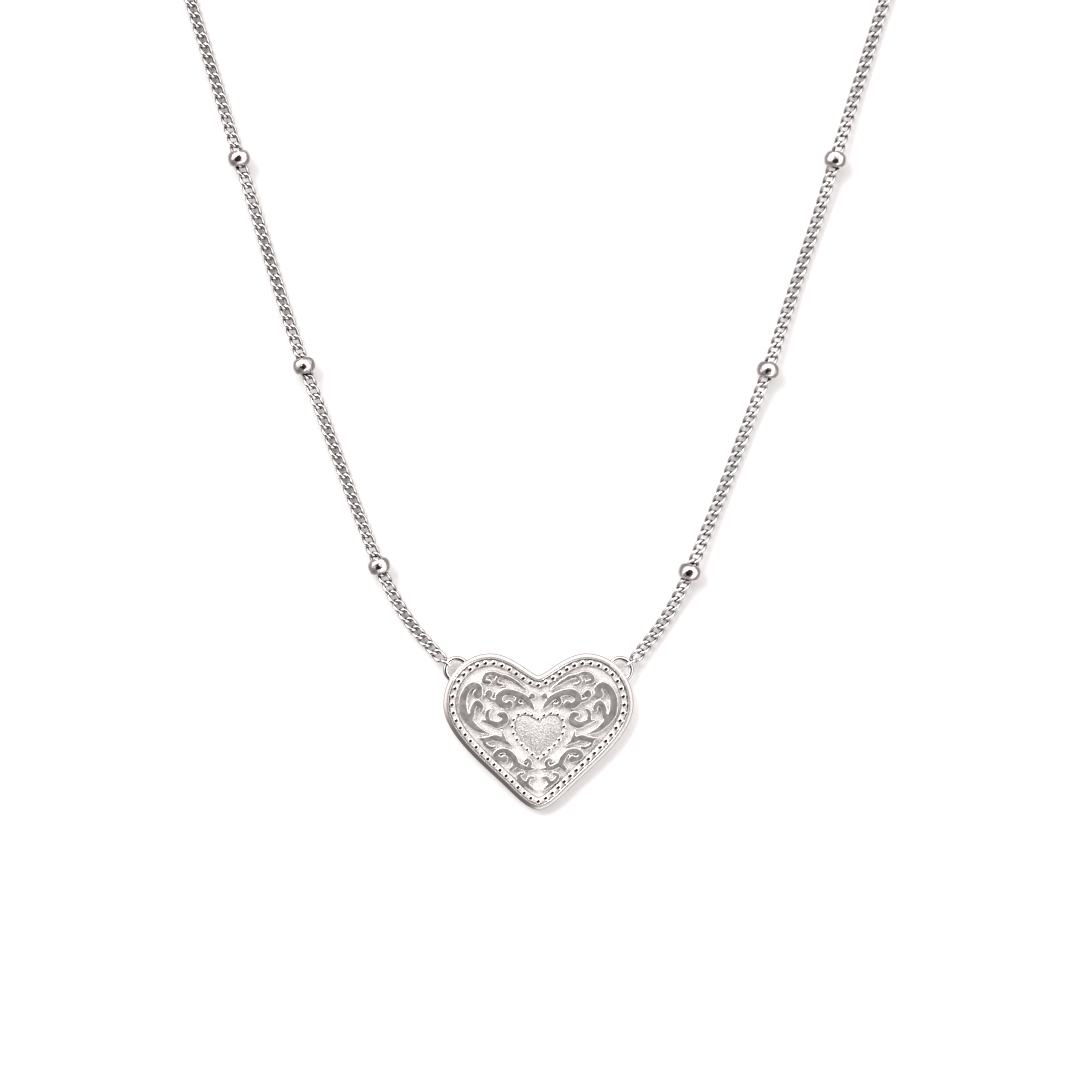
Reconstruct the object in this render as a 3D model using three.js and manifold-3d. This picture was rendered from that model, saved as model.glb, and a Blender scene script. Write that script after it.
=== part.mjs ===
// Heart pendant necklace. Millimetres. It lies face up on its flat back: +Z out of the face,
// +X to the wearer's left, +Y from the heart towards the chain. The origin is the middle of the heart's back.
import * as THREE from 'three';
import { mergeVertices } from 'three/addons/utils/BufferGeometryUtils.js';
import Module from 'manifold-3d';

const wasm = await Module();
wasm.setup();

// ---- Driving dimensions -------------------------------------------------------------------------

// Right half of the heart's edge, from the notch over the lobe to the tip: cubic curves end to end.
const HEART_EDGE = [
  [0, 5.3], [0.9, 5.55], [2.6, 7.4], [4.55, 7.4],
  [7.0, 7.4], [9.0, 5.25], [9.0, 2.6],
  [9.0, -0.2], [5.6, -2.85], [3.1, -5.25],
  [1.9, -6.45], [0.9, -7.4], [0, -7.4],
];
// Right half of the line that the centre heart's grains stand on.
const CENTRE_LINE = [
  [0, 1.25], [0.45, 1.5], [0.75, 1.8], [1.25, 1.8],
  [2.0, 1.8], [2.45, 1.3], [2.45, 0.5],
  [2.45, -0.4], [1.7, -1.1], [1.05, -1.65],
  [0.6, -2.05], [0.25, -2.45], [0, -2.47],
];
const EDGE_STEPS = 34;
const GAP = 0.04;

const FLOOR_TOP = 0.5;
// The frame's section: how far inside the edge, and how high.
const FRAME_SECTION = [
  [0.2, 0], [0, 0.2], [0, 1.1], [0.05, 1.17], [0.36, 1.44], [0.43, 1.55], [0.49, 1.5], [0.52, 1.3],
  [0.52, FLOOR_TOP],
];
const BORDER = { line: 0.86, halfWidth: 0.28, top: 0.95, grainsPerSide: 30, grainR: 0.3, grainZ: 1.15 };
const PLATE = { inset: 1.2, top: 0.95, reliefTop: 1.4 };
const CENTRE = { halfWidth: 0.16, top: 1.1, grainsPerSide: 11, grainR: 0.225, grainZ: 1.2, panelTop: 1.15 };

const WIRE = 0.3;
const EYELET = { x: 7.74, y: 5.87, z: 0.85, r: 1.05, wire: 0.5 };
const END_LINK = { angle: 148, from: 0.44, length: 1.5, height: 1.22 };

// The curb chain is 1.15 wide and 0.65 thick: a plain round tube between the two stands for it.
const CHAIN_TUBE = 0.8;
const CHAIN_GAP = 0.3;
const LINK_ROOM = 0.85;
const BEAD = { r: 1.1, bore: 0.62, width: 1.5 };
// Each side's route, from the link at the eyelet to where the coil begins, with a bead's height at each stop.
const CHAIN_ROUTES = {
  left: [
    [-9.0, 6.66, 0.85], [-9.83, 7.6, 0.7], [-11.85, 9.9, 0.5], [-13.4, 12.24, 0.62], [-15.04, 15.66, 1.1],
    [-16.8, 20.0, 0.6], [-18.6, 24.78, 0.42], [-20.5, 30.0, 0.6], [-22.15, 34.6, 1.1],
    [-23.8, 39.4, 0.6], [-25.3, 44.2, 0.42], [-26.9, 49.5, 0.6], [-28.3, 54.2, 1.1],
    [-29.8, 59.0, 0.6], [-31.4, 64.2, 0.42], [-33.0, 69.4, 0.55], [-34.2, 73.6, 1.1],
    [-35.4, 79.0, 0.6], [-35.8, 84.5, 0.5],
  ],
  right: [
    [9.0, 6.66, 0.85], [9.72, 7.6, 0.7], [11.52, 9.9, 0.5], [12.95, 12.24, 0.62], [14.3, 15.1, 1.1],
    [16.1, 19.4, 0.6], [18.1, 24.4, 0.42], [19.95, 29.4, 0.6], [21.7, 34.2, 1.1],
    [23.4, 39.3, 0.6], [25.0, 44.2, 0.42], [26.7, 49.4, 0.6], [28.07, 54.1, 1.1],
    [29.6, 59.0, 0.6], [31.25, 64.2, 0.42], [32.85, 69.4, 0.55], [34.1, 73.6, 1.1],
    [35.4, 79.0, 0.6], [35.8, 84.5, 0.5],
  ],
};
const BEAD_STOPS = [4, 8, 12, 16];
const COIL = { x: -23.6, y: 84.5, inner: 7.3, outer: 13.3, height: 2.2 };
// Inside the coil, the chain's end points this way, degrees from +X.
const CLASP_TURN = 134.5;

const CLASP_RING = { x: -3.5, z: 1.4, r: 1.19, wire: 0.42 };
const LAST_LINK = { x: -5.05, z: 1.0, length: 2.1, width: 1.1 };
const CLASP = { eyeX: -2.4, length: 7, halfWidth: 2.1, thickness: 1.5, eyeR: 1.0, eyeHole: 0.55 };
const LEVER = { pivotX: 2.55, pivotY: 1.15, thickness: 0.7, slot: 0.9 };
const END_RING = { x: -3.46, z: 0.75, r: 1.8, wire: 0.6, linkX: -5.4, linkLength: 1.7 };

// ---- Materials ----------------------------------------------------------------------------------

const metal = (color, roughness) => new THREE.MeshStandardMaterial({ color, roughness, metalness: 1 });
const POLISHED = metal(0xdedad8, 0.12);
const MATTE = metal(0xe4e1df, 0.55);
const STEEL = metal(0xb9b8b8, 0.3);

// ---- Solids -------------------------------------------------------------------------------------

// A closed mesh from vertices and triangles, turned inside out where its volume comes out negative.
function closedMesh(vertices, triangles) {
  let volume = 0;
  for (const [a, b, c] of triangles) {
    volume += vertices[a].dot(new THREE.Vector3().crossVectors(vertices[b], vertices[c]));
  }
  const faces = volume < 0 ? triangles.map(([a, b, c]) => [a, c, b]) : triangles;
  const geometry = new THREE.BufferGeometry().setFromPoints(vertices);
  geometry.setIndex(faces.flat());
  geometry.computeVertexNormals();
  return geometry;
}

// Skins a row of equal rings of points. A round row joins its last ring to its first; any other is capped.
function skin(rings, round = false) {
  const count = rings[0].length;
  const triangles = [];
  const last = round ? rings.length : rings.length - 1;
  for (let i = 0; i < last; i += 1) {
    const low = i * count;
    const high = ((i + 1) % rings.length) * count;
    for (let j = 0; j < count; j += 1) {
      const k = (j + 1) % count;
      triangles.push([low + j, low + k, high + k], [low + j, high + k, high + j]);
    }
  }
  if (!round) {
    const end = (rings.length - 1) * count;
    for (const [a, b, c] of capTriangles(rings[0])) triangles.push([c, b, a]);
    for (const [a, b, c] of capTriangles(rings.at(-1))) triangles.push([end + a, end + b, end + c]);
  }
  return closedMesh(rings.flat(), triangles);
}

// Triangles over one flat ring: a level one is cut into ears, and an upright one is convex, so a fan.
function capTriangles(ring) {
  const level = ring.every((p) => Math.abs(p.z - ring[0].z) < 1e-9);
  if (!level) return ring.slice(2).map((_, i) => [0, i + 1, i + 2]);
  const flat = ring.map((p) => new THREE.Vector2(p.x, p.y));
  const faces = THREE.ShapeUtils.triangulateShape(flat, []);
  return THREE.ShapeUtils.area(flat) > 0 ? faces : faces.map(([a, b, c]) => [a, c, b]);
}

function solid(geometry) {
  const bare = geometry.clone();
  bare.deleteAttribute('normal');
  bare.deleteAttribute('uv');
  const merged = mergeVertices(bare, 1e-4);
  const vertProperties = new Float32Array(merged.attributes.position.array);
  const triVerts = new Uint32Array(merged.index.array);
  return new wasm.Manifold(new wasm.Mesh({ numProp: 3, vertProperties, triVerts }));
}

function shape(manifold) {
  const { vertProperties, triVerts } = manifold.getMesh();
  const geometry = new THREE.BufferGeometry();
  geometry.setAttribute('position', new THREE.BufferAttribute(vertProperties, 3));
  geometry.setIndex(new THREE.BufferAttribute(triVerts, 1));
  geometry.computeVertexNormals();
  return geometry;
}

const union = (geometries) => geometries.map(solid).reduce((whole, piece) => whole.add(piece));

function prism(outline, low, high) {
  const settings = { depth: high - low, bevelEnabled: false };
  const geometry = new THREE.ExtrudeGeometry(new THREE.Shape(outline), settings);
  return geometry.translate(0, 0, low);
}

// Corners of an oval, anticlockwise.
function oval(x, y, rx, ry, sides) {
  return Array.from({ length: sides }, (_, i) => {
    const angle = (2 * Math.PI * i) / sides;
    return new THREE.Vector2(x + rx * Math.cos(angle), y + ry * Math.sin(angle));
  });
}

function disc(x, y, radius, low, high, sides = 12) {
  const geometry = new THREE.CylinderGeometry(radius, radius, high - low, sides).rotateX(Math.PI / 2);
  return geometry.translate(x, y, (low + high) / 2);
}

function block([x0, y0, z0], [x1, y1, z1]) {
  const geometry = new THREE.BoxGeometry(x1 - x0, y1 - y0, z1 - z0);
  return geometry.translate((x0 + x1) / 2, (y0 + y1) / 2, (z0 + z1) / 2);
}

// ---- Heart outlines -----------------------------------------------------------------------------

// Points along a whole heart, anticlockwise from the notch, evenly spaced down each side.
function heartLoop(edge, steps) {
  const half = new THREE.CurvePath();
  const points = edge.map(([x, y]) => new THREE.Vector2(x, y));
  for (let i = 0; i + 3 < points.length; i += 3) {
    half.add(new THREE.CubicBezierCurve(...points.slice(i, i + 4)));
  }
  const right = half.getSpacedPoints(steps);
  const left = right.slice(1, -1).map((p) => new THREE.Vector2(-p.x, p.y));
  return [...left, right.at(-1), ...right.slice(0, -1).reverse()];
}

// The loop moved inwards by a distance, or outwards where it is negative.
function inset(loop, distance) {
  return loop.map((point, i) => {
    const before = loop.at(i - 1);
    const after = loop[(i + 1) % loop.length];
    const along = new THREE.Vector2().subVectors(after, before).normalize();
    return new THREE.Vector2(point.x - along.y * distance, point.y + along.x * distance);
  });
}

const level = (loop, z) => loop.map((p) => new THREE.Vector3(p.x, p.y, z));

// Places evenly spaced down each side of a heart, one of them at the notch and one at the tip.
function grainPlaces(edge, distance, perSide) {
  const fine = inset(heartLoop(edge, 600), distance);
  const side = [...fine.slice(0, 600)];
  side.unshift(fine.at(-1));
  const start = new THREE.Vector2(0, side[0].y);
  const between = side.slice(1, -1).filter((_, i) => i % 6 === 5);
  const path = new THREE.SplineCurve([start, ...between, side.at(-1)]);
  const left = path.getSpacedPoints(perSide);
  return [...left, ...left.slice(1, -1).map((p) => new THREE.Vector2(-p.x, p.y))];
}

// A low wire round a heart with a grain on it at each place.
function grainRow(edge, line, { halfWidth, base, top, perSide, grainR, grainZ, sides, rows }) {
  const loop = heartLoop(edge, EDGE_STEPS);
  const [outer, inner] = [inset(loop, line - halfWidth), inset(loop, line + halfWidth)];
  const wire = skin([level(outer, base), level(outer, top), level(inner, top), level(inner, base)], true);
  const grains = grainPlaces(edge, line, perSide).map((p) => {
    return new THREE.SphereGeometry(grainR, sides, rows).rotateX(Math.PI / 2).translate(p.x, p.y, grainZ);
  });
  return shape(union([wire, ...grains]));
}

// ---- Scrollwork ---------------------------------------------------------------------------------

// Left half of the relief: each stroke's middle line, and its width along it.
const STROKES = {
  outerScroll: { line: [[-5.7, 3.7], [-5.62, 4.15], [-6.1, 4.42], [-6.68, 4.1], [-7.08, 3.3], [-7.14, 2.5],
    [-6.98, 1.7], [-6.53, 1.04], [-5.93, 0.44], [-5.26, 0.04], [-4.6, -0.16]],
    width: [0.6, 0.6, 0.6, 0.6, 0.65, 0.7, 0.72, 0.66, 0.5, 0.3, 0.05] },
  outerCurl: { line: [[-6.5, 1.0], [-6.26, 1.57], [-6.2, 2.24], [-5.8, 2.77], [-5.42, 2.44], [-5.42, 2.04]],
    width: [0.3, 0.4, 0.45, 0.5, 0.42, 0.3] },
  smallScroll: {
    line: [[-5.4, 1.1], [-4.57, 0.94], [-3.87, 0.68], [-3.17, 1.07], [-3.24, 1.58], [-3.68, 1.67]],
    width: [0.05, 0.4, 0.6, 0.6, 0.55, 0.4] },
  smallBranch: { line: [[-4.77, 1.0], [-4.8, 1.89], [-4.45, 2.21]], width: [0.4, 0.35, 0.05] },
  topVine: { line: [[-4.64, 4.69], [-5.15, 4.85], [-4.96, 5.4], [-4.26, 5.55], [-3.62, 5.33], [-2.92, 5.14],
    [-2.03, 4.63], [-1.14, 3.99]], width: [0.34, 0.34, 0.36, 0.34, 0.3, 0.36, 0.3, 0.05] },
  topCurl: { line: [[-3.7, 5.3], [-4.0, 4.85], [-3.75, 4.5], [-3.4, 4.47]], width: [0.2, 0.26, 0.26, 0.2] },
  mainScroll: { line: [[-2.73, 2.56], [-3.2, 2.5], [-3.7, 2.9], [-3.7, 3.4], [-3.2, 3.75], [-2.6, 3.75],
    [-1.9, 3.55], [-1.21, 3.16], [-0.76, 2.66], [-0.38, 2.12]],
    width: [0.5, 0.6, 0.65, 0.65, 0.6, 0.55, 0.55, 0.55, 0.45, 0.05] },
  mainCurl: {
    line: [[-1.75, 3.45], [-2.06, 2.85], [-1.78, 2.53], [-1.55, 2.6]],
    width: [0.4, 0.3, 0.28, 0.2],
  },
  budStem: { line: [[-3.75, 2.9], [-4.39, 3.01], [-4.95, 3.45]], width: [0.3, 0.26, 0.2] },
  lowerLeaf: { line: [[-5.6, -0.6], [-4.9, -0.72], [-4.09, -0.53], [-3.36, -0.78], [-2.5, -1.29]],
    width: [0.05, 0.45, 0.5, 0.45, 0.05] },
  leafSpike: { line: [[-3.3, -0.75], [-3.36, -0.3], [-3.44, 0.16]], width: [0.5, 0.25, 0.05] },
  leafCurl: {
    line: [[-5.2, -0.7], [-4.97, -1.22], [-4.45, -1.51], [-4.09, -1.43]],
    width: [0.2, 0.3, 0.26, 0.2],
  },
  lowerScroll: { line: [[-3.15, -2.6], [-3.73, -2.53], [-4.06, -2.17], [-3.58, -1.77], [-2.86, -1.87],
    [-2.35, -2.38], [-2.13, -3.03], [-2.56, -3.5]], width: [0.4, 0.45, 0.45, 0.42, 0.42, 0.5, 0.5, 0.3] },
  lowerFoot: { line: [[-2.2, -2.9], [-1.48, -3.32], [-0.89, -3.47], [-0.31, -3.47]],
    width: [0.4, 0.42, 0.36, 0.05] },
  footCurl: {
    line: [[-0.95, -3.4], [-0.75, -2.89], [-1.04, -2.6], [-1.26, -2.74]],
    width: [0.4, 0.3, 0.28, 0.2],
  },
  bottomHook: { line: [[-1.41, -3.9], [-1.84, -4.06], [-1.69, -4.48], [-1.04, -5.0], [-0.35, -5.54]],
    width: [0.2, 0.26, 0.34, 0.36, 0.05] },
  bottomBranch: { line: [[-1.1, -4.9], [-0.83, -4.34], [-0.46, -4.3]], width: [0.3, 0.3, 0.2] },
};
// Left half's round buds: place and radius.
const BUDS = [
  [-5.72, 3.6, 0.42], [-4.66, 3.65, 0.34], [-0.57, 3.42, 0.26], [-2.75, 2.6, 0.34], [-3.2, -2.55, 0.3],
];

function ribbon({ line, width }, side, low, high) {
  const places = line.map(([x, y]) => new THREE.Vector3(-side * x, y, 0));
  const path = new THREE.CatmullRomCurve3(places, false, 'centripetal');
  const steps = 2 * (line.length - 1);
  const rings = Array.from({ length: steps + 1 }, (_, i) => {
    const t = i / steps;
    const at = Math.min(Math.floor(t * (width.length - 1)), width.length - 2);
    const half = THREE.MathUtils.lerp(width[at], width[at + 1], t * (width.length - 1) - at) / 2;
    const point = path.getPoint(t);
    const along = path.getTangent(t);
    const across = new THREE.Vector3(-along.y, along.x, 0).multiplyScalar(half);
    const [a, b] = [point.clone().add(across), point.clone().sub(across)];
    return [a.clone().setZ(low), b.clone().setZ(low), b.clone().setZ(high), a.clone().setZ(high)];
  });
  return skin(rings);
}

function scrollPlate() {
  const edge = heartLoop(HEART_EDGE, EDGE_STEPS);
  const outline = inset(edge, PLATE.inset);
  const relief = [];
  for (const side of [-1, 1]) {
    for (const stroke of Object.values(STROKES)) {
      relief.push(ribbon(stroke, side, PLATE.top - 0.1, PLATE.reliefTop));
    }
    for (const [x, y, r] of BUDS) relief.push(disc(-side * x, y, r, PLATE.top - 0.1, PLATE.reliefTop));
  }
  const keepClear = prism(inset(heartLoop(CENTRE_LINE, EDGE_STEPS), -(CENTRE.grainR + GAP)), PLATE.top, 2);
  const ground = prism(outline, FLOOR_TOP + GAP, PLATE.top);
  const field = prism(inset(edge, PLATE.inset + 0.1), 0, 2);
  return shape(union(relief).intersect(solid(field)).subtract(solid(keepClear)).add(solid(ground)));
}

// ---- Wire rings, links and chain ----------------------------------------------------------------

// An oval wire ring round the origin: its long way along X, its short way along Y, its wire's section round.
function wireRing(length, width, wire, steps = 16, sides = 6) {
  const [endR, straight] = [(width - wire) / 2, (length - width) / 2];
  const rings = Array.from({ length: steps }, (_, i) => {
    const angle = (2 * Math.PI * (i + 0.5)) / steps;
    const out = new THREE.Vector3(Math.cos(angle), Math.sin(angle), 0);
    const middle = out.clone().multiplyScalar(endR).add(new THREE.Vector3(Math.sign(out.x) * straight, 0, 0));
    return Array.from({ length: sides }, (_, j) => {
      const turn = (2 * Math.PI * j) / sides;
      const up = new THREE.Vector3(0, 0, (Math.sin(turn) * wire) / 2);
      return middle.clone().addScaledVector(out, (Math.cos(turn) * wire) / 2).add(up);
    });
  });
  return skin(rings, true);
}

const degrees = THREE.MathUtils.degToRad;

function eyelet(side) {
  const ring = wireRing(2 * EYELET.r + EYELET.wire, 2 * EYELET.r + EYELET.wire, EYELET.wire, 24, 8);
  ring.translate(side * EYELET.x, EYELET.y, EYELET.z);
  const heart = prism(inset(heartLoop(HEART_EDGE, EDGE_STEPS), -GAP), -1, 3);
  return shape(solid(ring).subtract(solid(heart)));
}

function endLink(side) {
  const link = wireRing(END_LINK.length, END_LINK.height, WIRE).rotateX(Math.PI / 2);
  link.translate(END_LINK.from + END_LINK.length / 2, 0, 0).rotateZ(degrees(END_LINK.angle));
  if (side > 0) link.rotateY(Math.PI);
  return link.translate(side * EYELET.x, EYELET.y, EYELET.z);
}

function routeCurve(side) {
  const points = CHAIN_ROUTES[side < 0 ? 'left' : 'right'].map(([x, y, z]) => new THREE.Vector3(x, y, z));
  return new THREE.CatmullRomCurve3(points, false, 'centripetal');
}

// One stretch of chain between two stops of the route, as long a plain tube as the gaps at its ends leave.
function chainStretch(side, first, last, leaveFirst, leaveLast) {
  const whole = routeCurve(side);
  const stops = whole.points.length - 1;
  const samples = Array.from({ length: 121 }, (_, i) => {
    return whole.getPoint(THREE.MathUtils.lerp(first, last, i / 120) / stops);
  });
  const [start, end] = [samples[0], samples.at(-1)];
  const kept = samples.filter((p) => p.distanceTo(start) >= leaveFirst && p.distanceTo(end) >= leaveLast);
  const path = new THREE.CatmullRomCurve3(kept.filter((_, i) => i % 6 === 0 || i === kept.length - 1));
  const section = new THREE.Shape(oval(0, 0, CHAIN_TUBE / 2, CHAIN_TUBE / 2, 8));
  return new THREE.ExtrudeGeometry(section, { steps: 8, bevelEnabled: false, extrudePath: path });
}

// A rondelle with a bore along the chain.
function bead(side, stop) {
  const half = BEAD.width / 2;
  const profile = [
    [BEAD.bore, -half], [0.8, -half], [1.0, -0.45], [BEAD.r, 0],
    [1.0, 0.45], [0.8, half], [BEAD.bore, half],
    [BEAD.bore, -half],
  ].map(([r, y]) => new THREE.Vector2(r, y));
  const geometry = new THREE.LatheGeometry(profile, 12);
  const route = routeCurve(side);
  const along = route.getTangent(stop / (route.points.length - 1)).setZ(0).normalize();
  const turn = new THREE.Quaternion().setFromUnitVectors(new THREE.Vector3(0, 1, 0), along);
  const { x, y, z } = route.points[stop];
  return geometry.applyQuaternion(turn).translate(x, y, z);
}

function coil() {
  const profile = [
    [COIL.inner, 0.3], [COIL.inner + 0.3, 0], [COIL.outer - 0.3, 0], [COIL.outer, 0.3],
    [COIL.outer, COIL.height - 0.3], [COIL.outer - 0.3, COIL.height], [COIL.inner + 0.3, COIL.height],
    [COIL.inner, COIL.height - 0.3], [COIL.inner, 0.3],
  ].map(([r, z]) => new THREE.Vector2(r, z));
  return new THREE.LatheGeometry(profile, 28).rotateX(Math.PI / 2);
}

// ---- Clasp, in its own frame: X along it, from the chain's last link to the hook's nose ---------------

function claspBody() {
  const middle = CLASP.thickness / 2 + 0.25;
  const eyeHalf = 0.2;
  const [bodyX, bodyR] = [CLASP.length - 3.1, 3.1];
  const low = middle - CLASP.thickness / 2;
  const high = middle + CLASP.thickness / 2;
  const hook = solid(prism(oval(bodyX, 0, bodyR, CLASP.halfWidth, 20), low, high))
    .subtract(solid(prism(oval(bodyX + 0.3, -0.15, 1.95, 1.05, 20), low - 1, high + 1)))
    .subtract(solid(block([3.7, 0.3, low - 1], [6.05, 3, high + 1])))
    .subtract(solid(block([1.75, 0.25, middle - LEVER.slot / 2], [3.8, 3, middle + LEVER.slot / 2])))
    .subtract(solid(disc(LEVER.pivotX, LEVER.pivotY, 0.29, low - 1, high + 1)));
  const eye = solid(disc(0, 0, CLASP.eyeR, middle - eyeHalf, middle + eyeHalf, 16))
    .subtract(solid(disc(0, 0, CLASP.eyeHole, low, high, 16)));
  return shape(hook.add(eye));
}

function claspLever() {
  const middle = CLASP.thickness / 2 + 0.25;
  const [low, high] = [middle - LEVER.thickness / 2, middle + LEVER.thickness / 2];
  const arm = [
    [2.2, 0.85], [3.2, 0.95], [4.4, 0.98], [5.2, 0.9], [5.95, 0.7], [6.0, 1.15], [5.4, 1.55], [4.4, 1.8],
    [3.9, 2.0], [3.6, 2.5], [3.1, 2.5], [2.9, 1.95], [2.25, 1.6]].map(([x, y]) => new THREE.Vector2(x, y));
  const pinHole = disc(LEVER.pivotX, LEVER.pivotY, 0.29, low - 1, high + 1);
  return shape(solid(prism(arm, low, high)).subtract(solid(pinHole)));
}

function claspPin() {
  const middle = CLASP.thickness / 2 + 0.25;
  return disc(LEVER.pivotX, LEVER.pivotY, 0.25, middle - 0.74, middle + 0.74, 10);
}

// A coil spring in the slot, pressing the lever's arm outwards.
function claspSpring() {
  const middle = CLASP.thickness / 2 + 0.25;
  class Helix extends THREE.Curve {
    getPoint(t, target = new THREE.Vector3()) {
      const turn = 2 * Math.PI * 2.5 * t;
      return target.set(3.15 + 0.18 * Math.cos(turn), 0.45 + 0.36 * t, middle + 0.18 * Math.sin(turn));
    }
  }
  const section = new THREE.Shape(oval(0, 0, 0.05, 0.05, 5));
  return new THREE.ExtrudeGeometry(section, { steps: 20, bevelEnabled: false, extrudePath: new Helix() });
}

// ---- Assembly -----------------------------------------------------------------------------------

const group = new THREE.Group();

function add(parent, name, geometry, material) {
  const mesh = new THREE.Mesh(geometry, material);
  mesh.name = name;
  parent.add(mesh);
}

const frameEdge = heartLoop(HEART_EDGE, EDGE_STEPS);
add(group, 'heart_frame', skin(FRAME_SECTION.map(([d, z]) => level(inset(frameEdge, d), z))), POLISHED);
add(group, 'border_grains', grainRow(HEART_EDGE, BORDER.line, {
  ...BORDER, base: FLOOR_TOP + GAP, perSide: BORDER.grainsPerSide, sides: 6, rows: 4,
}), POLISHED);
add(group, 'scroll_plate', scrollPlate(), MATTE);
const centreEdge = heartLoop(CENTRE_LINE, EDGE_STEPS);
const panel = prism(inset(centreEdge, CENTRE.grainR + GAP), PLATE.top + GAP, CENTRE.panelTop);
add(group, 'centre_heart', panel, MATTE);
add(group, 'centre_grains', grainRow(CENTRE_LINE, 0, {
  ...CENTRE, base: PLATE.top + GAP, perSide: CENTRE.grainsPerSide, sides: 6, rows: 4,
}), POLISHED);

for (const [name, side] of [['left', -1], ['right', 1]]) {
  add(group, `${name}_eyelet`, eyelet(side), POLISHED);
  add(group, `${name}_end_link`, endLink(side), POLISHED);
  const stops = [0, ...BEAD_STOPS];
  const beadGap = BEAD.width / 2 + CHAIN_GAP;
  for (let i = 0; i + 1 < stops.length; i += 1) {
    const leaveFirst = i === 0 ? LINK_ROOM : beadGap;
    const stretch = chainStretch(side, stops[i], stops[i + 1], leaveFirst, beadGap);
    add(group, `${name}_chain_${i + 1}`, stretch, POLISHED);
  }
  BEAD_STOPS.forEach((stop, i) => add(group, `${name}_bead_${i + 1}`, bead(side, stop), POLISHED));
}

for (const [name, side] of [['left', -1], ['right', 1]]) {
  const coilGroup = new THREE.Group();
  coilGroup.position.set(-side * COIL.x, COIL.y, 0);
  group.add(coilGroup);
  add(coilGroup, `${name}_coil`, coil(), POLISHED);

  const inside = new THREE.Group();
  inside.rotation.z = degrees(side < 0 ? CLASP_TURN : 180 - CLASP_TURN);
  coilGroup.add(inside);
  if (side < 0) {
    inside.position.copy(new THREE.Vector3(0, 1, 0).applyEuler(inside.rotation));
    const lastLink = wireRing(LAST_LINK.length, LAST_LINK.width, WIRE).translate(LAST_LINK.x, 0, LAST_LINK.z);
    add(inside, 'left_last_link', lastLink, POLISHED);
    const ringWidth = 2 * CLASP_RING.r + CLASP_RING.wire;
    const ring = wireRing(ringWidth, ringWidth, CLASP_RING.wire, 20).rotateX(Math.PI / 2);
    add(inside, 'clasp_ring', ring.translate(CLASP_RING.x, 0, CLASP_RING.z), POLISHED);
    const clasp = new THREE.Group();
    clasp.position.x = CLASP.eyeX;
    inside.add(clasp);
    add(clasp, 'clasp_body', claspBody(), POLISHED);
    add(clasp, 'clasp_lever', claspLever(), POLISHED);
    add(clasp, 'clasp_pin', claspPin(), STEEL);
    add(clasp, 'clasp_spring', claspSpring(), STEEL);
  } else {
    inside.position.copy(new THREE.Vector3(0, -1, 0).applyEuler(inside.rotation));
    const lastLink = wireRing(END_RING.linkLength, END_LINK.height, WIRE).rotateX(Math.PI / 2);
    add(inside, 'right_last_link', lastLink.translate(END_RING.linkX, 0, END_RING.z), POLISHED);
    const ringWidth = 2 * END_RING.r + END_RING.wire;
    const ring = wireRing(ringWidth, ringWidth, END_RING.wire, 20);
    add(inside, 'end_ring', ring.translate(END_RING.x, 0, END_RING.z), POLISHED);
  }
}

export default group;
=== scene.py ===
"""The heart pendant necklace, lying face up on a white surface under soft light from the upper left."""
import math

import bmesh
import bpy
import numpy as np
from mathutils import Matrix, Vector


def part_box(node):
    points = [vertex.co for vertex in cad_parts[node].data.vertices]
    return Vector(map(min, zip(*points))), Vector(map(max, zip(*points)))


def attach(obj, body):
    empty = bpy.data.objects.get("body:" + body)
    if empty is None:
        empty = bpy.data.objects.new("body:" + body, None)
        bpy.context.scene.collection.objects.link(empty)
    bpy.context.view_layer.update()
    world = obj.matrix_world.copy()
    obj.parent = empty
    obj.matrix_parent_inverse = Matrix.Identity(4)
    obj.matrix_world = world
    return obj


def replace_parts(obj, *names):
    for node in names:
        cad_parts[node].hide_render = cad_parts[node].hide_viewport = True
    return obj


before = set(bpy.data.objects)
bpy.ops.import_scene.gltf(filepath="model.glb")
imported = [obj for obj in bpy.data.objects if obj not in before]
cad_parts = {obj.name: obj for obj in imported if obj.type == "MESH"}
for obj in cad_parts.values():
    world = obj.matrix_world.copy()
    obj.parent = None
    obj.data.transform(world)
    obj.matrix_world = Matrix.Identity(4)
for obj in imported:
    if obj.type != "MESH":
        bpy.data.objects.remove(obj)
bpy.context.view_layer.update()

MM = 0.001

# ---- Dimensions, in millimetres ------------------------------------------------------------------

VIEW_WIDTH = 102.56
VIEW_CENTRE = (0.15, 18.13)
LENS, SENSOR = 100.0, 36.0

HEART_EDGE = [
    (0, 5.3), (0.9, 5.55), (2.6, 7.4), (4.55, 7.4),
    (7.0, 7.4), (9.0, 5.25), (9.0, 2.6),
    (9.0, -0.2), (5.6, -2.85), (3.1, -5.25),
    (1.9, -6.45), (0.9, -7.4), (0, -7.4),
]
CENTRE_LINE = [
    (0, 1.25), (0.45, 1.5), (0.75, 1.8), (1.25, 1.8),
    (2.0, 1.8), (2.45, 1.3), (2.45, 0.5),
    (2.45, -0.4), (1.7, -1.1), (1.05, -1.65),
    (0.6, -2.05), (0.25, -2.45), (0, -2.47),
]
BORDER_LINE, BORDER_GRAINS, BORDER_GRAIN_R = 0.86, 30, 0.3
CENTRE_GRAINS, CENTRE_GRAIN_R = 11, 0.225
BORDER_WIRE_HALF, CENTRE_WIRE_HALF = 0.28, 0.16
GRAIN_SQUASH = 0.5
FRAME_FLOOR = 0.5
PLATE_INSET, PLATE_GROUND, PUNCH_HEIGHT = 1.2, 0.95, 0.008
SHOULDER, EDGE_BEVEL, BEVEL_SLOPE = 0.17, 0.07, 0.5
CENTRE_DOME, CENTRE_MIDDLE = 0.05, (0, -0.15)

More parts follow.
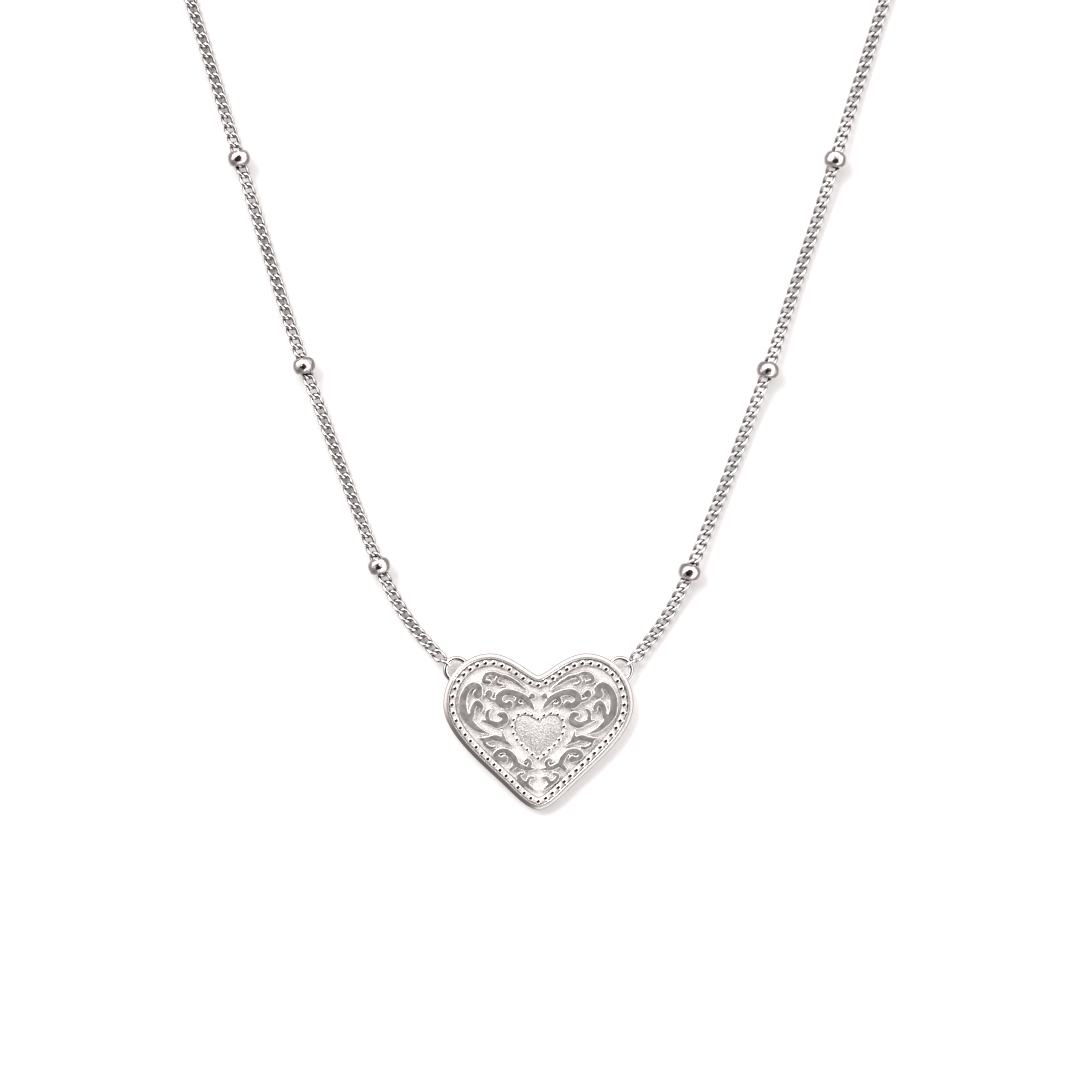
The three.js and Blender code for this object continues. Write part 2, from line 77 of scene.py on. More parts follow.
CHAIN_WIDTH, CHAIN_WIRE, LINK_PITCH = 1.2, 0.33, 1.0
LINK_HALF_LENGTH, LINK_TWIST, LINK_SLANT = 0.66, 0.2, 0.16
BEAD_SPACING, BEAD_TILT = 20.2, -8
BEAD_BORE, BEAD_R, BEAD_HALF_WIDTH = 0.6, 1.1, 0.75
CHAIN_ROUTES = {
    "left": [
        (-9.0, 6.66, 0.85), (-9.83, 7.6, 0.7), (-11.85, 9.9, 0.5), (-13.4, 12.24, 0.62), (-15.04, 15.66, 1.1),
        (-16.8, 20.0, 0.6), (-18.6, 24.78, 0.42), (-20.5, 30.0, 0.6), (-22.15, 34.6, 1.1),
        (-23.8, 39.4, 0.6), (-25.3, 44.2, 0.42), (-26.9, 49.5, 0.6), (-28.3, 54.2, 1.1),
        (-29.8, 59.0, 0.6), (-31.4, 64.2, 0.42), (-33.0, 69.4, 0.55), (-34.2, 73.6, 1.1),
        (-35.4, 79.0, 0.6), (-35.8, 84.5, 0.5),
    ],
    "right": [
        (9.0, 6.66, 0.85), (9.72, 7.6, 0.7), (11.52, 9.9, 0.5), (12.95, 12.24, 0.62), (14.3, 15.1, 1.1),
        (16.1, 19.4, 0.6), (18.1, 24.4, 0.42), (19.95, 29.4, 0.6), (21.7, 34.2, 1.1),
        (23.4, 39.3, 0.6), (25.0, 44.2, 0.42), (26.7, 49.4, 0.6), (28.07, 54.1, 1.1),
        (29.6, 59.0, 0.6), (31.25, 64.2, 0.42), (32.85, 69.4, 0.55), (34.1, 73.6, 1.1),
        (35.4, 79.0, 0.6), (35.8, 84.5, 0.5),
    ],
}
BEADS_IN_CAD = 4
COIL_START_R, COIL_END_R, COIL_TURNS = 12.2, 8.5, 1.6
CHAIN_LIES_AT, BEAD_LIES_AT = 0.42, 1.1
INNER_BEND_R = 2.4
WIRE = 0.3
EYELET_AT, EYELET_R, EYELET_WIRE = (7.74, 5.87, 0.85), 1.05, 0.5
END_LINK_LENGTH, END_LINK_HEIGHT, END_LINK_ANGLE = 1.5, 1.22, 148
CHAIN_END_ANGLE = {"left": 134.5, "right": 45.5}
LAST_LINK_LENGTH = {"left": 2.1, "right": 1.7}
LEFT_LAST_LINK_WIDTH = 1.1
CLASP_RING_R, CLASP_RING_WIRE = 1.19, 0.42
END_RING_R, END_RING_WIRE = 1.8, 0.6

# How fine the meshes are, and the angle from which an edge is sharp.
HEART_STEPS, CENTRE_STEPS, RELIEF_CELL = 260, 90, 0.045
WIRE_SIDES, LINK_SIDES, LINK_STEPS, BEAD_STEPS = 16, 10, 32, 40
CAST_VOXEL, CAST_SMOOTHINGS = 0.045, 8
SHARP_FROM = math.radians(50)

# ---- Colours, textures and light -----------------------------------------------------------------

SILVER, SILVER_SHADED = (0.90, 0.885, 0.875), (0.83, 0.81, 0.80)
STEEL_LIGHT, STEEL_DARK = (0.62, 0.61, 0.61), (0.52, 0.515, 0.52)
# The first of these is painted shade, a near-black laid into the chain's crevices. The card's two tones are
# its faint tooth.
CREVICE_PAINTED_SHADE, CARD_LIGHT, CARD_DARK = (0.05, 0.04, 0.04), (0.94, 0.94, 0.94), (0.92, 0.92, 0.92)
# Features per metre.
CLOUDS, FINE_CLOUDS, GLOSS, SCRATCHES, PUNCH_MARKS, PITS = 450, 700, 1400, 2600, 9000, 11000
# Heights at which one finish gives way to another.
GRAIN_FOOT = (1.27 * MM, 1.31 * MM)
RELIEF_FOOT = (0.965 * MM, 1.05 * MM)
RELIEF_BROW = (1.38 * MM, 1.398 * MM)

TENT, DIMMED = 2.1, 0.15
# The overhead opening's colours, by how nearly a ray goes its way.
OPENING_WAY = (-0.06, -0.2, 0.978)
OPENING_RAMP = [
    (0.73, (1, 1, 1)), (0.79, (0.6, 0.49, 0.47)), (0.85, (0.04, 0.025, 0.025)), (1, (0.015, 0.01, 0.01))]
# The tent's colours, from straight down (0) to straight up (1).
HEIGHT_RAMP = [
    (0, (0.5, 0.46, 0.46)), (0.14, (0.4, 0.365, 0.365)), (0.24, (0.15, 0.13, 0.13)),
    (0.54, (0.15, 0.13, 0.13)), (0.67, (0.62, 0.59, 0.58)), (0.8, (1, 1, 1))]
DIM_WAY, DIM_FROM_TO = (-0.52, -0.59, 0.616), (0.7, 0.93)
KEY_STRENGTH, KEY_SPREAD, KEY_TURN = 1.7, 30, (-30, -36)
FLOOR_HALF, FLOOR_Z, FLOOR_GLOW = 1.5, -0.02 * MM, 0.1


# ---- Curves --------------------------------------------------------------------------------------

def catmull_rom(points, per=24):
    """A centripetal curve through the points."""
    points = np.asarray(points, float)
    padded = np.vstack([2 * points[0] - points[1], points, 2 * points[-1] - points[-2]])
    out = []
    for a, b, c, d in zip(padded, padded[1:], padded[2:], padded[3:]):
        t0 = 0.0
        t1 = t0 + max(np.linalg.norm(b - a), 1e-9) ** 0.5
        t2 = t1 + max(np.linalg.norm(c - b), 1e-9) ** 0.5
        t3 = t2 + max(np.linalg.norm(d - c), 1e-9) ** 0.5
        t = np.linspace(t1, t2, per, endpoint=False)[:, None]
        ab = (t1 - t) / (t1 - t0) * a + (t - t0) / (t1 - t0) * b
        bc = (t2 - t) / (t2 - t1) * b + (t - t1) / (t2 - t1) * c
        cd = (t3 - t) / (t3 - t2) * c + (t - t2) / (t3 - t2) * d
        abc = (t2 - t) / (t2 - t0) * ab + (t - t0) / (t2 - t0) * bc
        bcd = (t3 - t) / (t3 - t1) * bc + (t - t1) / (t3 - t1) * cd
        out.append((t2 - t) / (t2 - t1) * abc + (t - t1) / (t2 - t1) * bcd)
    return np.vstack([*out, points[-1]])


def lengths_along(points):
    return np.concatenate([[0], np.cumsum(np.linalg.norm(np.diff(points, axis=0), axis=1))])


def at_lengths(points, wanted):
    along = lengths_along(points)
    return np.stack([np.interp(wanted, along, points[:, k]) for k in range(points.shape[1])], 1)


def evenly(points, count):
    return at_lengths(points, np.linspace(0, lengths_along(points)[-1], count))


def half_heart(edge):
    """Right half of a heart, from its notch to its tip, finely."""
    edge = np.asarray(edge, float)
    t = np.linspace(0, 1, 120)[:, None]
    pieces = []
    for a, b, c, d in zip(edge[0::3], edge[1::3], edge[2::3], edge[3::3]):
        pieces.append(a * (1 - t) ** 3 + 3 * b * t * (1 - t) ** 2 + 3 * c * t * t * (1 - t) + d * t ** 3)
    return np.vstack(pieces)


def heart_loop(edge, per_side):
    """A whole heart, anticlockwise from the notch, evenly spaced down each side."""
    right = evenly(half_heart(edge), per_side + 1)
    left = right * (-1, 1)
    return np.vstack([left[:-1], right[:0:-1]])


def inset(loop, distance):
    along = np.roll(loop, -1, 0) - np.roll(loop, 1, 0)
    along /= np.linalg.norm(along, axis=1)[:, None]
    return loop + distance * np.stack([-along[:, 1], along[:, 0]], 1)


def grain_places(edge, distance, per_side):
    """Places evenly spaced down each side, one of them at the notch and one at the tip."""
    fine = inset(heart_loop(edge, 900), distance)
    left = evenly(fine[:901], per_side + 1)
    left[0, 0] = left[-1, 0] = 0
    return np.vstack([left, left[1:-1] * (-1, 1)])


# ---- Meshes --------------------------------------------------------------------------------------

def new_piece(name, vertices, faces, material, slot, body):
    """A piece made of vertices in millimetres, riding on a body."""
    mesh = bpy.data.meshes.new(name)
    mesh.from_pydata((np.asarray(vertices, float) * MM).tolist(), [], [list(map(int, f)) for f in faces])
    mesh.validate()
    mesh.polygons.foreach_set("use_smooth", np.ones(len(mesh.polygons), bool))
    mesh.materials.append(material)
    piece = bpy.data.objects.new(name, mesh)
    bpy.context.scene.collection.objects.link(piece)
    face_outwards(mesh)
    mesh.set_sharp_from_angle(angle=SHARP_FROM)
    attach(piece, body)
    return piece


def face_outwards(mesh):
    work = bmesh.new()
    work.from_mesh(mesh)
    bmesh.ops.recalc_face_normals(work, faces=work.faces)
    work.to_mesh(mesh)
    work.free()


def joined(parts):
    """Several (vertices, faces) as one."""
    vertices, faces, start = [], [], 0
    for v, f in parts:
        vertices.append(v)
        faces += [[i + start for i in face] for face in f]
        start += len(v)
    return np.vstack(vertices), faces


def skin(rings, closed=False):
    """Skins equal rings of points. An open row is capped with one flat face at each end."""
    rings = [np.asarray(r, float) for r in rings]
    count = len(rings[0])
    faces = []
    for i in range(len(rings) if closed else len(rings) - 1):
        low, high = i * count, ((i + 1) % len(rings)) * count
        faces += [[low + j, low + (j + 1) % count, high + (j + 1) % count, high + j] for j in range(count)]
    if not closed:
        faces.append(list(range(count))[::-1])
        faces.append(list(range((len(rings) - 1) * count, len(rings) * count)))
    return np.vstack(rings), faces


def level(loop, z):
    return np.column_stack([loop, np.full(len(loop), z)])


def wire_along(points, radius, closed, sides=10, up=(0, 0, 1)):
    """A round wire along points."""
    points = np.asarray(points, float)
    if closed:
        along = np.roll(points, -1, 0) - np.roll(points, 1, 0)
    else:
        along = np.gradient(points, axis=0)
    along /= np.linalg.norm(along, axis=1)[:, None]
    across = np.cross(along, np.asarray(up, float))
    across /= np.linalg.norm(across, axis=1)[:, None]
    rise = np.cross(across, along)
    turn = np.linspace(0, 2 * np.pi, sides, endpoint=False)
    rings = [p + radius * (np.outer(np.cos(turn), a) + np.outer(np.sin(turn), b))
             for p, a, b in zip(points, across, rise)]
    return skin(rings, closed)


def oval_points(length, width, steps=48):
    """The middle line of an oval wire ring in the XY plane, its long way along X."""
    angle = np.linspace(0, 2 * np.pi, steps, endpoint=False)
    end_r, straight = width / 2, (length - width) / 2
    return np.column_stack([
        end_r * np.cos(angle) + straight * np.tanh(6 * np.cos(angle)), end_r * np.sin(angle), 0 * angle])


def ball(radius, squash):
    work = bmesh.new()
    bmesh.ops.create_icosphere(work, subdivisions=3, radius=radius)
    vertices = np.array([v.co for v in work.verts]) * (1, 1, squash)
    faces = [[v.index for v in f.verts] for f in work.faces]
    work.free()
    return vertices, faces


def box_mm(node):
    low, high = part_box(node)
    return np.array(low) / MM, np.array(high) / MM


# ---- Camera --------------------------------------------------------------------------------------

def make_camera():
    data = bpy.data.cameras.new("camera")
    data.lens, data.sensor_width = LENS, SENSOR
    camera = bpy.data.objects.new("camera", data)
    camera.location = (VIEW_CENTRE[0] * MM, VIEW_CENTRE[1] * MM, VIEW_WIDTH * MM * LENS / SENSOR)
    bpy.context.scene.collection.objects.link(camera)
    bpy.context.scene.camera = camera


make_camera()


# ---- Chain ---------------------------------------------------------------------------------------

def last_link_hook(side):
    """Where the chain's last small link hooks into the large one at its end."""
    low, high = box_mm(f"{side}_last_link")
    turn = math.radians(CHAIN_END_ANGLE[side])
    back = LAST_LINK_LENGTH[side] / 2 - 1.6 * WIRE
    return (low + high) / 2 - back * np.array([math.cos(turn), math.sin(turn), 0])


def coil_path(side):
    """The wound length: a flat spiral, then a bend towards the coil's middle, ending in the last link."""
    low, high = box_mm(f"{side}_coil")
    centre = ((low + high) / 2)[:2]
    turn = np.linspace(0, COIL_TURNS, int(COIL_TURNS * 90) + 1)
    radius = COIL_START_R + (COIL_END_R - COIL_START_R) * turn / COIL_TURNS
    angle = math.pi - 2 * math.pi * turn
    spiral = np.column_stack([radius * np.cos(angle), radius * np.sin(angle)])
    heading = spiral[-1] - spiral[-2]
    heading = math.atan2(heading[1], heading[0])
    middle = spiral[-1] + INNER_BEND_R * np.array([math.sin(heading), -math.cos(heading)])
    sweep = np.linspace(heading, heading - math.pi / 2, 16)[1:]
    bend = middle + INNER_BEND_R * np.column_stack([-np.sin(sweep), np.cos(sweep)])
    flat = np.vstack([spiral, bend])
    if side == "right":
        flat = flat * (-1, 1)
    flat = np.vstack([flat + centre, last_link_hook(side)[:2]])
    return np.column_stack([flat, np.full(len(flat), CHAIN_LIES_AT)])


def chain_path(side):
    """The chain's middle line, and how far along it each bead sits."""
    route = catmull_rom(CHAIN_ROUTES[side], 16)
    coil = evenly(coil_path(side), 260)
    path = np.vstack([route, coil[1:]])
    along = lengths_along(path)
    beads = []
    for i in range(BEADS_IN_CAD):
        low, high = box_mm(f"{side}_bead_{i + 1}")
        beads.append(along[np.argmin(np.linalg.norm(path - (low + high) / 2, axis=1))])
    while beads[-1] + BEAD_SPACING < along[-1] - BEAD_SPACING / 2:
        beads.append(beads[-1] + BEAD_SPACING)
    beads = np.array(beads)
    wound = along[len(route):]
    nearest = np.abs(wound[:, None] - beads).min(1)
    to_end = along[-1] - wound
    lift = (BEAD_LIES_AT - CHAIN_LIES_AT) * np.exp(-(nearest / 2.2) ** 2)
    lift += (last_link_hook(side)[2] - CHAIN_LIES_AT) * np.exp(-(to_end / 1.6) ** 2)
    path[len(route):, 2] += lift
    return path, beads


def link_template(slant):
    """One curb link, the chain's way along X: a slanted oval, twisted so that the chain lies flat."""
    angle = np.linspace(0, 2 * np.pi, LINK_STEPS, endpoint=False)
    half_width = (CHAIN_WIDTH - CHAIN_WIRE) / 2
    middle = np.column_stack([
        LINK_HALF_LENGTH * np.cos(angle) + slant * np.sin(angle), half_width * np.sin(angle),
        -math.copysign(LINK_TWIST, slant) * np.sin(2 * angle)])
    return wire_along(middle, CHAIN_WIRE / 2, True, LINK_SIDES)


def frames_along(path, lengths):
    """Where the path is at each length, and its forward, sideways and upward directions there."""
    at = at_lengths(path, lengths)
    step = 0.4
    ahead = at_lengths(path, np.minimum(lengths + step, lengths_along(path)[-1]))
    behind = at_lengths(path, np.maximum(lengths - step, 0))
    forward = ahead - behind
    forward /= np.linalg.norm(forward, axis=1)[:, None]
    sideways = np.cross((0, 0, 1), forward)
    sideways /= np.linalg.norm(sideways, axis=1)[:, None]
    return at, forward, sideways, np.cross(forward, sideways)


def placed(template, at, forward, sideways, upward):
    vertices, faces = template
    return at + vertices @ np.stack([forward, sideways, upward]), faces


def chain_links(path, slant):
    first, last = LINK_HALF_LENGTH, lengths_along(path)[-1] - LINK_HALF_LENGTH
    places = np.linspace(first, last, round((last - first) / LINK_PITCH) + 1)
    template = link_template(slant)
    return joined([placed(template, *axes) for axes in zip(*frames_along(path, places))])


def bead_template():
    """A rondelle round the X axis with a bore: a rounded girdle and rolled edges."""
    outer = [(BEAD_HALF_WIDTH * math.sin(a), BEAD_BORE + (BEAD_R - BEAD_BORE) * math.cos(a))
             for a in np.linspace(-1.4, 1.4, 19)]
    lip, mouth = BEAD_HALF_WIDTH * 0.985, BEAD_BORE + 0.04
    profile = [(-lip, mouth), *outer, (lip, mouth), (lip - 0.05, BEAD_BORE), (0.05 - lip, BEAD_BORE)]
    turn = np.linspace(0, 2 * np.pi, BEAD_STEPS, endpoint=False)
    rings = [[(x, r * math.cos(t), r * math.sin(t)) for x, r in profile] for t in turn]
    return skin(rings, True)


def make_chain(side, metals):
    body = f"{side}_chain"
    path, stops = chain_path(side)
    slant = LINK_SLANT if side == "left" else -LINK_SLANT
    links = new_piece(f"{side}_curb_chain", *chain_links(path, slant), metals["chain"], "chain_silver", body)
    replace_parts(links, f"{side}_coil", *[f"{side}_chain_{i + 1}" for i in range(BEADS_IN_CAD)])
    template = bead_template()
    level_path = path * (1, 1, 0) + (0, 0, BEAD_LIES_AT)
    flat_stops = np.interp(stops, lengths_along(path), lengths_along(level_path))
    tilt = BEAD_TILT if side == "left" else -BEAD_TILT
    beads = []
    for i, (at, *ways) in enumerate(zip(*frames_along(level_path, flat_stops))):
        mesh = placed(template, at, *(turned(way[None], tilt, 0)[0] for way in ways))
        bead = new_piece(f"{side}_station_bead_{i + 1}", *mesh, metals["bead"], "bead_silver", body)
        if i < BEADS_IN_CAD:
            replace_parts(bead, f"{side}_bead_{i + 1}")
        beads.append(bead)
    return links, beads, path


# ---- Pendant -------------------------------------------------------------------------------------

def frame_piece(metals):
    """The heart's back, floor and rim: a flat bevel outside, a rounded crest, a wall down to the channel."""
    top = box_mm("heart_frame")[1][2]
    edge = heart_loop(HEART_EDGE, HEART_STEPS)
    crest = [(0.45 - 0.06 * math.cos(a), top - 0.07 + 0.07 * math.sin(a)) for a in np.linspace(0.1, 3.0, 10)]
    section = [
        (0.34, 0.0), (0.24, 0.01), (0.1, 0.06), (0.03, 0.16), (0.0, 0.3),
        (0.0, 1.06), (0.01, 1.11), (0.04, 1.16), (0.09, 1.2), (0.33, 1.34), (0.38, 1.39),
        *crest, (0.52, top - 0.15), (0.54, top - 0.3), (0.54, FRAME_FLOOR)]
    rings = [level(inset(edge, d), z) for d, z in section]
    piece = new_piece("heart_frame_fine", *skin(rings), metals["polished"], "polished_silver", "pendant")
    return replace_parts(piece, "heart_frame")


def grain_row(name, node, edge, line, per_side, radius, half_width, metal):
    """Round-topped grains along a line inside an edge, on a flat wire."""
    low, high = box_mm(node)
    loop = heart_loop(edge, 150)
    middle = high[2] - radius * GRAIN_SQUASH
    wire_top = middle - 0.04
    brink, crown = half_width, 0.7 * half_width
    wire = skin([level(inset(loop, line + across), z) for across, z in (
        (-brink, low[2]), (-brink, wire_top - 0.08), (-crown, wire_top),
        (crown, wire_top), (brink, wire_top - 0.08), (brink, low[2]))], True)
    vertices, faces = ball(radius, GRAIN_SQUASH)
    grains = [(vertices + (x, y, middle), faces) for x, y in grain_places(edge, line, per_side)]
    piece = new_piece(name, *joined([wire, *grains]), metal, "grain_silver", "pendant")
    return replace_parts(piece, node)


# ---- Relief --------------------------------------------------------------------------------------

# Left half of the scrollwork: each stroke's middle line, and the width of its flat top along it.
STROKES = {
    "outer_scroll": (
        [(-5.7, 3.7), (-5.62, 4.15), (-6.1, 4.42), (-6.68, 4.1), (-7.08, 3.3), (-7.14, 2.5), (-6.98, 1.7),
         (-6.53, 1.04), (-5.93, 0.44), (-5.26, 0.04), (-4.6, -0.16)],
        [0.6, 0.6, 0.6, 0.6, 0.65, 0.7, 0.72, 0.66, 0.5, 0.3, 0.05]),
    "outer_curl": ([(-6.5, 1.0), (-6.26, 1.57), (-6.2, 2.24), (-5.8, 2.77), (-5.42, 2.44), (-5.42, 2.04)],
                   [0.3, 0.4, 0.45, 0.5, 0.42, 0.3]),
    "small_scroll": ([(-5.4, 1.1), (-4.57, 0.94), (-3.87, 0.68), (-3.17, 1.07), (-3.24, 1.58), (-3.68, 1.67)],
                     [0.05, 0.4, 0.6, 0.6, 0.55, 0.4]),
    "small_branch": ([(-4.77, 1.0), (-4.8, 1.89), (-4.45, 2.21)], [0.4, 0.35, 0.05]),
    "top_vine": (
        [(-4.64, 4.69), (-5.15, 4.85), (-4.96, 5.4), (-4.26, 5.55), (-3.62, 5.33), (-2.92, 5.14),
         (-2.03, 4.63), (-1.14, 3.99)],
        [0.34, 0.34, 0.36, 0.34, 0.3, 0.36, 0.3, 0.05]),
    "top_curl": ([(-3.7, 5.3), (-4.0, 4.85), (-3.75, 4.5), (-3.4, 4.47)], [0.2, 0.26, 0.26, 0.2]),
    "main_scroll": (
        [(-2.73, 2.56), (-3.2, 2.5), (-3.7, 2.9), (-3.7, 3.4), (-3.2, 3.75), (-2.6, 3.75), (-1.9, 3.55),
         (-1.21, 3.16), (-0.76, 2.66), (-0.38, 2.12)],
        [0.5, 0.6, 0.65, 0.65, 0.6, 0.55, 0.55, 0.55, 0.45, 0.05]),
    "main_curl": ([(-1.75, 3.45), (-2.06, 2.85), (-1.78, 2.53), (-1.55, 2.6)], [0.4, 0.3, 0.28, 0.2]),
    "bud_stem": ([(-3.75, 2.9), (-4.39, 3.01), (-4.95, 3.45)], [0.3, 0.26, 0.2]),
    "lower_leaf": ([(-5.6, -0.6), (-4.9, -0.72), (-4.09, -0.53), (-3.36, -0.78), (-2.5, -1.29)],
                   [0.05, 0.45, 0.5, 0.45, 0.05]),
    "leaf_spike": ([(-3.3, -0.75), (-3.36, -0.3), (-3.44, 0.16)], [0.5, 0.25, 0.05]),
    "leaf_curl": ([(-5.2, -0.7), (-4.97, -1.22), (-4.45, -1.51), (-4.09, -1.43)], [0.2, 0.3, 0.26, 0.2]),
    "lower_scroll": (
        [(-3.15, -2.6), (-3.73, -2.53), (-4.06, -2.17), (-3.58, -1.77), (-2.86, -1.87), (-2.35, -2.38),
         (-2.13, -3.03), (-2.56, -3.5)],
        [0.4, 0.45, 0.45, 0.42, 0.42, 0.5, 0.5, 0.3]),
    "lower_foot": ([(-2.2, -2.9), (-1.48, -3.32), (-0.89, -3.47), (-0.31, -3.47)], [0.4, 0.42, 0.36, 0.05]),
    "foot_curl": ([(-0.95, -3.4), (-0.75, -2.89), (-1.04, -2.6), (-1.26, -2.74)], [0.4, 0.3, 0.28, 0.2]),
    "bottom_hook": ([(-1.41, -3.9), (-1.84, -4.06), (-1.69, -4.48), (-1.04, -5.0), (-0.35, -5.54)],
                    [0.2, 0.26, 0.34, 0.36, 0.05]),
    "bottom_branch": ([(-1.1, -4.9), (-0.83, -4.34), (-0.46, -4.3)], [0.3, 0.3, 0.2]),
}
# Left half's round buds: place and radius.
BUDS = [(-5.72, 3.6, 0.42), (-4.66, 3.65, 0.34), (-0.57, 3.42, 0.26), (-2.75, 2.6, 0.34), (-3.2, -2.55, 0.3)]


def distance_to_line(x, y, line, half_width):
    """How far each place is from the side of a line of varying half width: negative inside it."""
    best = np.full(x.shape, 9.0)
    for (ax, ay), (bx, by), ra, rb in zip(line, line[1:], half_width, half_width[1:]):
        dx, dy = bx - ax, by - ay
        t = np.clip(((x - ax) * dx + (y - ay) * dy) / max(dx * dx + dy * dy, 1e-12), 0, 1)
        best = np.minimum(best, np.hypot(x - ax - t * dx, y - ay - t * dy) - (ra + t * (rb - ra)))
    return best


def stroke_distance(x, y):
    """Distance from the nearest stroke's flat top, for places in the left half."""
    best = np.full(x.shape, 9.0)
    for line, width in STROKES.values():
        path = catmull_rom(line, 7)
        widths = np.interp(np.linspace(0, 1, len(path)), np.linspace(0, 1, len(width)), width) / 2
        low, high = path.min(0) - 1, path.max(0) + 1
        near = (x > low[0]) & (x < high[0]) & (y > low[1]) & (y < high[1])
        best[near] = np.minimum(best[near], distance_to_line(x[near], y[near], path, widths))
    for bx, by, r in BUDS:
        best = np.minimum(best, np.hypot(x - bx, y - by) - r)
    return best


def relief_height(x, y, top):
    """The height at each place: flat strokes with bevelled edges, over ground with low punch marks."""
    d = stroke_distance(-np.abs(x), y)
    bevel = BEVEL_SLOPE * np.clip(d, 0, EDGE_BEVEL)
    down = np.clip((d - EDGE_BEVEL) / (SHOULDER - EDGE_BEVEL), 0, 1)
    grain = np.sin(61 * x + 5 * np.sin(23 * y)) * np.sin(57 * y + 5 * np.sin(29 * x))
    wall = (top - bevel - PLATE_GROUND) * (1 - down) ** 1.5
    return PLATE_GROUND + wall + PUNCH_HEIGHT * grain * (d > SHOULDER)


def plate_piece(metals):
    low, high = box_mm("scroll_plate")
    outline = inset(heart_loop(HEART_EDGE, HEART_STEPS), PLATE_INSET)
    xs = np.arange(low[0] - RELIEF_CELL, high[0] + 2 * RELIEF_CELL, RELIEF_CELL)
    xs = xs - (xs[0] + xs[-1]) / 2
    ys = np.arange(low[1] - RELIEF_CELL, high[1] + 2 * RELIEF_CELL, RELIEF_CELL)
    x, y = (a.ravel() for a in np.meshgrid(xs, ys))
    inside, nearest, distance = against_outline(x, y, outline)
    depth = np.where(inside, distance, -distance)
    snapped = np.abs(depth) < 0.55 * RELIEF_CELL
    x = np.where(snapped, nearest[:, 0], x)
    y = np.where(snapped, nearest[:, 1], y)
    keep = (depth > 0) | snapped
    number = np.cumsum(keep) - 1
    wide = len(xs)
    corner = np.arange(len(x)).reshape(len(ys), wide)
    quads = np.stack([corner[:-1, :-1], corner[:-1, 1:], corner[1:, 1:], corner[1:, :-1]], -1).reshape(-1, 4)
    quads = number[quads[keep[quads].all(1)]]
    z = relief_height(x, y, high[2])
    vertices = np.column_stack([x, y, z])[keep]
    vertices, faces = with_walls(vertices, quads, low[2])
    piece = new_piece("scroll_plate_fine", vertices, faces, metals["relief"], "relief_silver", "pendant")
    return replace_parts(piece, "scroll_plate")


def against_outline(x, y, outline):
    """Whether each place is inside a closed outline, the outline's nearest point, and how far that is."""
    inside = np.zeros(len(x), bool)
    distance = np.full(len(x), 9.0)
    nearest = np.zeros((len(x), 2))
    for (ax, ay), (bx, by) in zip(outline, np.roll(outline, -1, 0)):
        crosses = (ay > y) != (by > y)
        with np.errstate(divide="ignore", invalid="ignore"):
            inside ^= crosses & (x < (bx - ax) * (y - ay) / (by - ay) + ax)
        dx, dy = bx - ax, by - ay
        t = np.clip(((x - ax) * dx + (y - ay) * dy) / (dx * dx + dy * dy), 0, 1)
        px, py = ax + t * dx, ay + t * dy
        d = np.hypot(x - px, y - py)
        closer = d < distance
        distance[closer] = d[closer]
        nearest[closer] = np.column_stack([px, py])[closer]
    return inside, nearest, distance


def with_walls(vertices, quads, bottom):
    """Closes an open sheet downwards: walls from its rim, and a flat underside."""
    used = np.zeros(len(vertices), bool)
    used[quads.ravel()] = True
    number = np.cumsum(used) - 1
    vertices, quads = vertices[used], number[quads]
    ways = {}
    for quad in quads.tolist():
        for a, b in zip(quad, quad[1:] + quad[:1]):
            if ways.pop((b, a), None) is None:
                ways[(a, b)] = True
    follow = dict(ways.keys())
    start = next(iter(follow))
    rim = [start]
    while follow[rim[-1]] != start:
        rim.append(follow[rim[-1]])
    count = len(vertices)
    lower = vertices[rim] * (1, 1, 0) + (0, 0, bottom)
    round_rim = range(len(rim))
    after = [(i + 1) % len(rim) for i in round_rim]
    walls = [[rim[j], rim[i], count + i, count + j] for i, j in zip(round_rim, after)]
    return np.vstack([vertices, lower]), [*quads.tolist(), *walls, [count + i for i in round_rim]]


def centre_heart_piece(metals):
    """The plain heart in the middle: a low dome."""
    low, high = box_mm("centre_heart")
    edge = heart_loop(CENTRE_LINE, CENTRE_STEPS)
    side, rim = inset(edge, CENTRE_GRAIN_R + 0.04), inset(edge, CENTRE_GRAIN_R + 0.07)
    rings = [level(side, low[2]), level(side, high[2] - 0.06)]
    for out in np.linspace(1, 0, 22)[:-1]:
        height = high[2] - 0.03 + CENTRE_DOME * (1 - out ** 2)
        rings.append(level(CENTRE_MIDDLE + (rim - CENTRE_MIDDLE) * out, height))
    piece = new_piece("centre_heart_dome", *skin(rings),
                      metals["sandblasted"], "sandblasted_silver", "pendant")
    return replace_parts(piece, "centre_heart")


# ---- Rings and clasp -----------------------------------------------------------------------------

def turned(points, angle, at):
    """Points turned about Z by an angle in degrees, then moved."""
    c, s = math.cos(math.radians(angle)), math.sin(math.radians(angle))
    return points @ np.array([[c, s, 0], [-s, c, 0], [0, 0, 1]]) + at


def middle_of(node):
    low, high = box_mm(node)
    return (low + high) / 2


def upright(points):
    return points[:, [0, 2, 1]]


def ring_piece(node, points, wire, angle, metal, slot, body):
    """A closed wire in the node's place, its points turned about Z by an angle."""
    points = turned(points, angle, middle_of(node))
    lies_flat = np.ptp(points[:, 2]) < 1e-6
    up = (0, 0, 1) if lies_flat else turned(np.array([[0.0, 1.0, 0.0]]), angle, 0)[0]
    wire_mesh = wire_along(points, wire / 2, True, WIRE_SIDES, up)
    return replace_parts(new_piece(f"{node}_wire", *wire_mesh, metal, slot, body), node)


